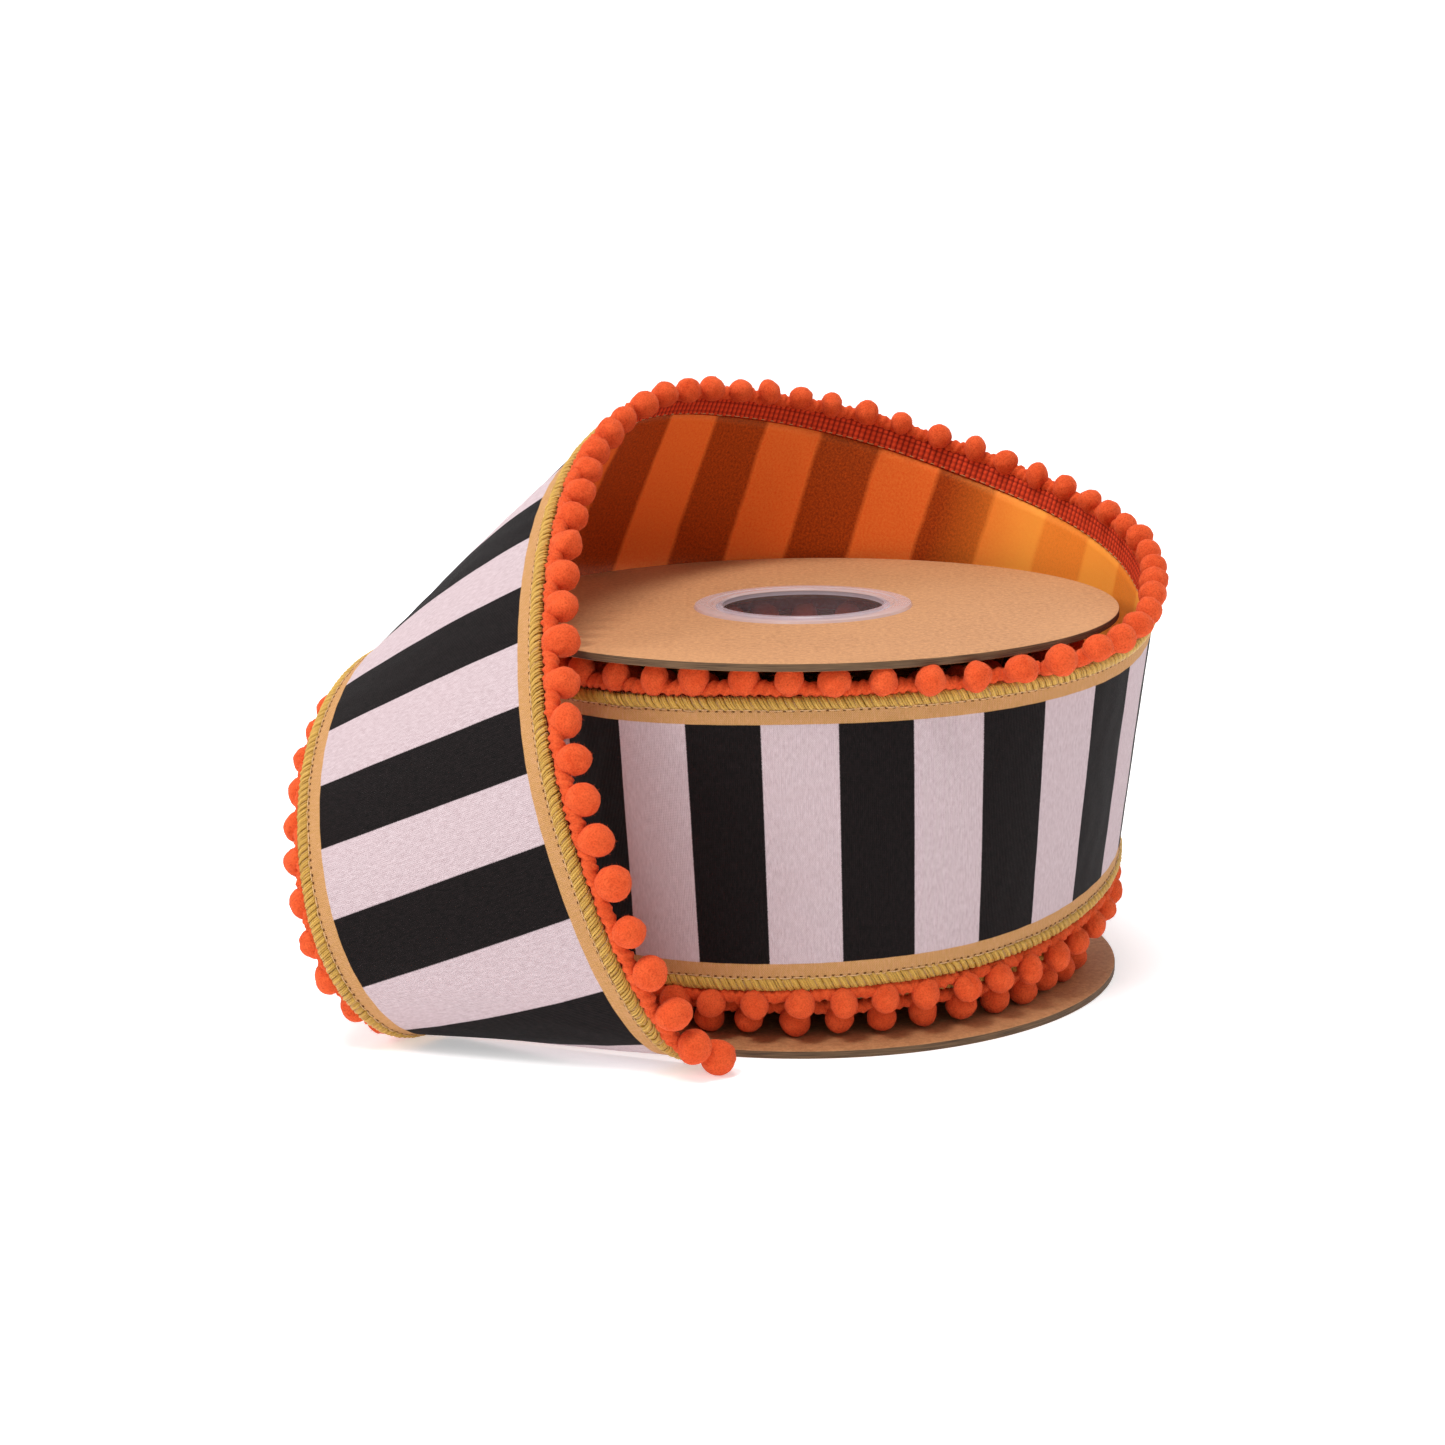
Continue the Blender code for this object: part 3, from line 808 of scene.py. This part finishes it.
def thread_material(name, dark, light, rough):
    shade = Shade(name, rough, Sheen_Weight=0.1, Specular_IOR_Level=0.45)
    fibre = shade.noise(3800.0, shade.object_space(), 3.0, 0.7)
    toned = shade.math("MULTIPLY_ADD", shade.attribute("tone"), 0.7, -0.4)
    shade.colour(shade.mix(shade.ramp(fibre, 0.9, toned), dark, light))
    shade.bump(fibre, 0.00012, 0.7)
    return shade.material


def header_material():
    shade = Shade("ladder_braid", 0.85, Specular_IOR_Level=0.2)
    fibre = shade.noise(2400.0, shade.object_space(), 3.0, 0.7)
    # The weave's low parts are drawn dark: painted shade in the grooves between rungs and lines
    raised = shade.ramp(shade.attribute("lift"), 3.2, 0.4)
    colour = shade.mix(raised, linear(84, 10, 4), linear(232, 76, 38))
    shade.colour(shade.mix(shade.ramp(fibre, 1.0, -0.3), colour, linear(186, 46, 22)))
    shade.bump(fibre, 0.0002, 0.7)
    return shade.material


def card_material():
    """Kraft card: a flecked facing above and below, and a layered cut edge round the side."""
    shade = Shade("kraft_card", 0.72, Specular_IOR_Level=0.35)
    place = shade.object_space()
    speck = shade.noise(900.0, place, 4.0, 0.75)
    fleck = shade.noise(260.0, place, 5.0, 0.65)
    cloud = shade.noise(22.0, place, 3.0, 0.5)
    face = shade.mix(shade.ramp(speck, 2.4, -0.7), linear(156, 104, 64), linear(206, 152, 104))
    face = shade.mix(shade.times(shade.step(fleck, 0.63, 0.1), 0.35), face, linear(146, 98, 60))
    face = shade.mix(shade.ramp(cloud, 1.0, -0.35), face, linear(206, 150, 102))
    squeezed = shade.node("ShaderNodeVectorMath", place, (120.0, 120.0, 5200.0), operation="MULTIPLY")
    layers = shade.noise(1.0, squeezed.outputs[0])
    edge = shade.mix(shade.ramp(layers, 2.4, -0.7), linear(58, 42, 28), linear(122, 94, 66))
    normal = shade.node("ShaderNodeNewGeometry").outputs["Normal"]
    upright = shade.node("ShaderNodeSeparateXYZ", normal).outputs[2]
    on_face = shade.step(shade.math("ABSOLUTE", upright), 0.72, 0.2)
    shade.colour(shade.mix(on_face, edge, face))
    shade.bump(shade.mix(on_face, layers, speck), 0.00012, 0.8)
    return shade.material


def plastic_material(name, tint, cover, rough):
    shade = Shade(name, rough, Alpha=cover, IOR=1.46)
    haze = shade.noise(160.0, shade.object_space(), 3.0, 0.6)
    shade.colour(shade.mix(shade.ramp(haze, 0.8, 0.1), tint, linear(238, 228, 236)))
    shade.bump(haze, 0.0001, 0.3)
    return shade.material


def floor_material():
    shade = Shade("pale_floor", 0.9, Emission_Strength=0.42, Specular_IOR_Level=0.0)
    shade.shader.inputs["Emission Color"].default_value = (1.0, 1.0, 1.0, 1.0)
    grain = shade.noise(40.0, shade.object_space())
    shade.colour(shade.mix(shade.times(grain, 0.03), linear(246, 245, 246), linear(236, 234, 235)))
    return shade.material


STRIPES = ribbon_material()
SATIN = lining_material()
FELT = felt_material()
GOLD = thread_material("gold_thread", linear(160, 116, 30), linear(226, 182, 84), 0.45)
PALE = thread_material("pale_thread", linear(186, 136, 78), linear(232, 194, 146), 0.5)
HEADER = header_material()
CARD = card_material()
RIM = plastic_material("hub_rim", linear(214, 190, 198), 0.46, 0.25)
TUBE = plastic_material("hub_tube", linear(230, 150, 138), 0.13, 0.2)


def columns_across(count):
    """Columns over the ribbon's width: some over its middle and eight more on each edge band."""
    inner = np.linspace(-26.0, 26.0, count)
    outer = np.linspace(26.0, HALF, 9)[1:]
    return np.concatenate([-outer[::-1], inner, outer])


def edge_relief(rows, cols):
    """How the cloth's outer face stands proud under the overcast edge."""
    height = np.abs(cols)
    rising = np.clip((height - SWELL_FROM) / SWELL_OVER, 0.0, 1.0)
    falling = np.clip((HALF + 0.35 - height) / 1.2, 0.0, 1.0)
    return SWELL * rising * falling


def cloth_relief(rows, cols):
    """The edge's swell with faint ripples over the whole width."""
    return edge_relief(rows, cols) + 0.05 * np.sin(rows * 0.9 + 2.0 * np.sin(cols * 0.21))


def make_ribbon():
    """The outer turn and loose end, with its overcast edges and running threads."""
    build = Build()
    alongs = np.arange(RIBBON_START, RIBBON_END + 0.01, 1.6)
    add_sheet(build, ribbon_place, alongs, columns_across(27), 0.0, CLOTH_THICK, cloth_relief)
    cloth = build.finish("ribbon_cloth", STRIPES)
    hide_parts("ribbon")
    gold = Build()
    pale = Build()
    for side in (1, -1):
        add_edge_threads(gold, pale, ribbon_place, side, RIBBON_START, RIBBON_END)
        line = side * (EDGE_INNER - EDGE_RUN_IN)
        add_running_thread(pale, ribbon_place, line, RIBBON_START + 1.6, RIBBON_END, **EDGE_RUN)
    edge = gold.finish("gold_edge", GOLD)
    thread = pale.finish("pale_edge_thread", PALE)
    return cloth, [edge, thread]


def make_lining():
    build = Build()
    alongs = np.arange(LINING_START, RIBBON_END - 0.5, 2.0)
    acrosses = np.linspace(-LINING_HALF, LINING_HALF, 21)
    add_sheet(build, ribbon_place, alongs, acrosses, LINING_NEAR, LINING_FAR)
    lining = build.finish("satin_lining", SATIN)
    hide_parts("lining")
    return lining


def header_weave(rows, cols):
    """The ladder weave's relief, low between rungs and lines."""
    rungs = np.abs(np.sin(math.pi * rows / HEADER_RUNG)) ** 0.7
    lines = np.abs(np.sin(math.pi * (np.abs(cols) - HEADER_INNER) / HEADER_LINE)) ** 0.6
    return HEADER_RELIEF * rungs * lines - HEADER_SUNK


def add_header(build, side, start, end):
    """A closed strip inside one edge, whose face away from the stripes carries the weave."""
    acrosses = side * np.linspace(HEADER_INNER, HEADER_OUTER, HEADER_COLUMNS)[::-side]
    rows, cols = np.meshgrid(np.arange(start, end, HEADER_RUNG / 4), acrosses, indexing="ij")
    lift = header_weave(rows, cols)
    far = ribbon_place(rows, cols, HEADER_FAR + lift)
    corners = [-1, 0]
    near = ribbon_place(rows[:, corners], cols[:, corners], HEADER_NEAR)
    points = np.concatenate([far, near], 1)
    count, size = points.shape[:2]
    fan = np.arange(size - 2)
    tip = np.full(len(fan), size - 1)
    faces = [
        quads(*band_corners(count, size)),
        np.stack([fan, fan + 1, tip], 1),
        np.stack([fan, tip, fan + 1], 1) + (count - 1) * size,
    ]
    raised = np.concatenate([lift, np.zeros((count, 2))], 1)
    build.add(points, np.concatenate(faces), lift=raised)


def make_header(name, side, start, end):
    """The braid's header on one side, and the row of stitches that holds it."""
    strip = Build()
    add_header(strip, side, start, end)
    header = strip.finish(name, HEADER)
    stitches = Build()
    line = side * (HEADER_INNER + HEADER_RUN_IN)
    add_running_thread(stitches, ribbon_place, line, start + 1.0, end, **HEADER_RUN)
    thread = stitches.finish(name + "_stitches", PALE)
    return header, thread


def make_trims():
    """The pompom braid on the ribbon's two edges."""
    made = []
    start = RIBBON_START + 0.5
    end = RIBBON_END - 0.6
    for name, side, hang in (("upper", 1, UPPER_HANG), ("lower", -1, LOWER_HANG)):
        build = Build()
        cut = end + side * END_SLANT
        add_braid(build, route.place, side, start, cut, POM_FIRST, hang, FINE_BALL, hairs=140)
        poms = build.finish("pompoms_" + name, FELT)
        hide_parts("trim_" + name)
        header, thread = make_header("braid_header_" + name, side, start, end)
        made += [poms, header, thread]
    return made


def make_winding():
    """The inner turns as one long wound ribbon, its outer and innermost turns with their pompoms."""
    place = winding.place
    first = winding.along_at(ROLL_INNER)
    build = Build()
    alongs = np.linspace(first, RIBBON_START - 0.6, ROLL_STEPS)
    add_sheet(build, place, alongs, columns_across(9), 0.0, ROLL_THICK, edge_relief)
    turns = build.finish("wound_turns", STRIPES)
    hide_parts("wound_ribbon")
    gold = Build()
    pale = Build()
    outer_start = RIBBON_START - 2 * math.pi * OUTER_TURN_RADIUS
    for side in (1, -1):
        add_edge_threads(gold, pale, place, side, outer_start, RIBBON_START)
    edge = gold.finish("gold_edge_wound", GOLD)
    thread = pale.finish("pale_edge_thread_wound", PALE)
    made = [edge, thread]
    outer_end = RIBBON_START - 1.0
    inner_end = first + 2 * math.pi * INNER_TURN_RADIUS
    for name, side, hang in (("top", 1, ROLL_TOP_HANG), ("bottom", -1, ROLL_BOTTOM_HANG)):
        build = Build()
        add_braid(build, place, side, outer_start, outer_end, outer_start + 5.0, hang, PLAIN_BALL, 50)
        add_braid(build, place, side, first + 1.0, inner_end, first + 5.0, INNER_TURN_HANG, PLAIN_BALL, 0)
        poms = build.finish("pompoms_wound_" + name, FELT)
        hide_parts("roll_trim_" + name)
        made.append(poms)
    return turns, made, RIBBON_START - first


def disc_section(low, high):
    """A card disc's section, with softened outer corners and extra rings over its top."""
    steps = np.linspace(0.0, math.pi / 2, 5)
    inner = TUBE_OUTER + FLANGE_GAP
    turn = FLANGE_RADIUS - FLANGE_SOFT
    section = [(inner, low)]
    section += [(turn + FLANGE_SOFT * math.sin(a), low + FLANGE_SOFT * (1 - math.cos(a))) for a in steps]
    section += [(turn + FLANGE_SOFT * math.cos(a), high - FLANGE_SOFT * (1 - math.sin(a))) for a in steps]
    section += [(radius, high) for radius in np.linspace(turn - 1.5, inner + 1.0, 12)]
    return section + [(inner, high)]


def make_discs():
    for place, low in (("bottom", 0.0), ("top", SPOOL_HEIGHT - FLANGE_THICK)):
        build = Build()
        add_turned(build, disc_section(low, low + FLANGE_THICK), FLANGE_STEPS)
        disc = build.finish("card_disc_" + place, CARD, 40.0)
        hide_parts("flange_" + place)


def make_hub():
    rim = Build()
    section = [
        (WALL_OUTER, RIM_BASE),
        (RIM_RADIUS - 0.2, RIM_BASE),
        (RIM_RADIUS, RIM_BASE + 0.2),
        (RIM_RADIUS - 0.35, RIM_BASE + 0.75),
        (RIM_RADIUS - 1.0, RIM_BASE + 0.9),
        (TUBE_OUTER + 2.2, RIM_BASE + 0.95),
        (TUBE_OUTER + 1.9, RIM_BASE + 0.78),
        (TUBE_OUTER + 1.3, RIM_BASE + 0.78),
        (TUBE_OUTER + 1.0, RIM_BASE + 1.02),
        (TUBE_BORE + 0.7, RIM_BASE + 1.02),
        (TUBE_BORE + 0.1, RIM_BASE + 0.6),
        (TUBE_BORE, RIM_BASE - RIM_LIP),
        (WALL_OUTER, RIM_BASE - RIM_LIP),
    ]
    add_turned(rim, section, RIM_STEPS)
    hub_rim = rim.finish("hub_rim", RIM, 30.0)
    tube = Build()
    low = TUBE_FOOT + TUBE_JOIN
    high = RIM_BASE - RIM_LIP - TUBE_JOIN
    wall = [(TUBE_BORE, low), (WALL_OUTER, low), (WALL_OUTER, high), (TUBE_BORE, high)]
    add_turned(tube, wall, TUBE_STEPS)
    foot = [(TUBE_BORE, 0.0), (TUBE_OUTER, 0.0), (TUBE_OUTER, TUBE_FOOT), (TUBE_BORE, TUBE_FOOT)]
    add_turned(tube, foot, TUBE_STEPS)
    hub_tube = tube.finish("hub_tube", TUBE, 30.0)
    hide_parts("hub")
    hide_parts("hub")


def make_stage():
    """A pale floor that curves up far behind."""
    angles = np.linspace(0.1, math.pi / 2, 14)
    section = [(FLOOR_NEAR, 0.0), (FLOOR_FAR, 0.0)]
    section += [(FLOOR_FAR + FLOOR_CURVE * math.sin(a), FLOOR_CURVE * (1 - math.cos(a))) for a in angles]
    section += [(FLOOR_FAR + FLOOR_CURVE, WALL_HEIGHT)]
    points = [(x, y, z) for x in (-FLOOR_SIDE, FLOOR_SIDE) for y, z in section]
    count = len(section)
    faces = [(k, k + 1, count + k + 1, count + k) for k in range(count - 1)]
    mesh = bpy.data.meshes.new("floor")
    mesh.from_pydata(points, [], faces)
    mesh.shade_smooth()
    mesh.materials.append(floor_material())
    floor = bpy.data.objects.new("floor", mesh)
    bpy.context.scene.collection.objects.link(floor)


def add_light(name, location, target, size, power, tint=(1.0, 1.0, 1.0)):
    data = bpy.data.lights.new(name, "AREA")
    data.shape = "DISK"
    data.size = size
    data.energy = power
    data.color = tint
    lamp = bpy.data.objects.new(name, data)
    bpy.context.scene.collection.objects.link(lamp)
    lamp.location = location
    lamp.rotation_euler = (Vector(location) - Vector(target)).to_track_quat("Z", "Y").to_euler()


def make_lights():
    """Three soft lamps, their places and sizes in metres, in a white studio."""
    add_light("key", (-0.6, -0.85, 2.1), (0.0, 0.0, 0.05), 0.6, 22.0, (1.0, 0.98, 0.97))
    add_light("top", (0.1, 0.0, 1.9), (0.0, 0.0, 0.05), 0.6, 12.0)
    add_light("side", (-1.5, -0.3, 0.95), (0.05, 0.02, 0.09), 0.5, 9.0, (1.0, 0.98, 0.95))
    world = bpy.data.worlds.new("studio")
    world.use_nodes = True
    background = world.node_tree.nodes["Background"]
    background.inputs["Color"].default_value = (1.0, 1.0, 1.0, 1.0)
    background.inputs["Strength"].default_value = 0.5
    bpy.context.scene.world = world
    bpy.context.scene.view_settings.view_transform = "Standard"


def make_camera():
    data = bpy.data.cameras.new("camera")
    data.sensor_width = CAMERA_SENSOR
    data.lens = CAMERA_LENS
    data.clip_start = 0.01
    data.clip_end = 50.0
    camera = bpy.data.objects.new("camera", data)
    bpy.context.scene.collection.objects.link(camera)
    place = (AXIS + np.array(CAMERA_FROM_AXIS)) * MM
    tilt = Matrix.Rotation(math.radians(CAMERA_TILT), 4, "X")
    roll = Matrix.Rotation(math.radians(CAMERA_ROLL), 4, "Z")
    camera.matrix_world = Matrix.Translation(place.tolist()) @ tilt @ roll
    bpy.context.scene.camera = camera


cloth, edges = make_ribbon()
lining = make_lining()
trims = make_trims()
turns, wound_pieces, wound_length = make_winding()
make_discs()
make_hub()

make_stage()
make_lights()
make_camera()
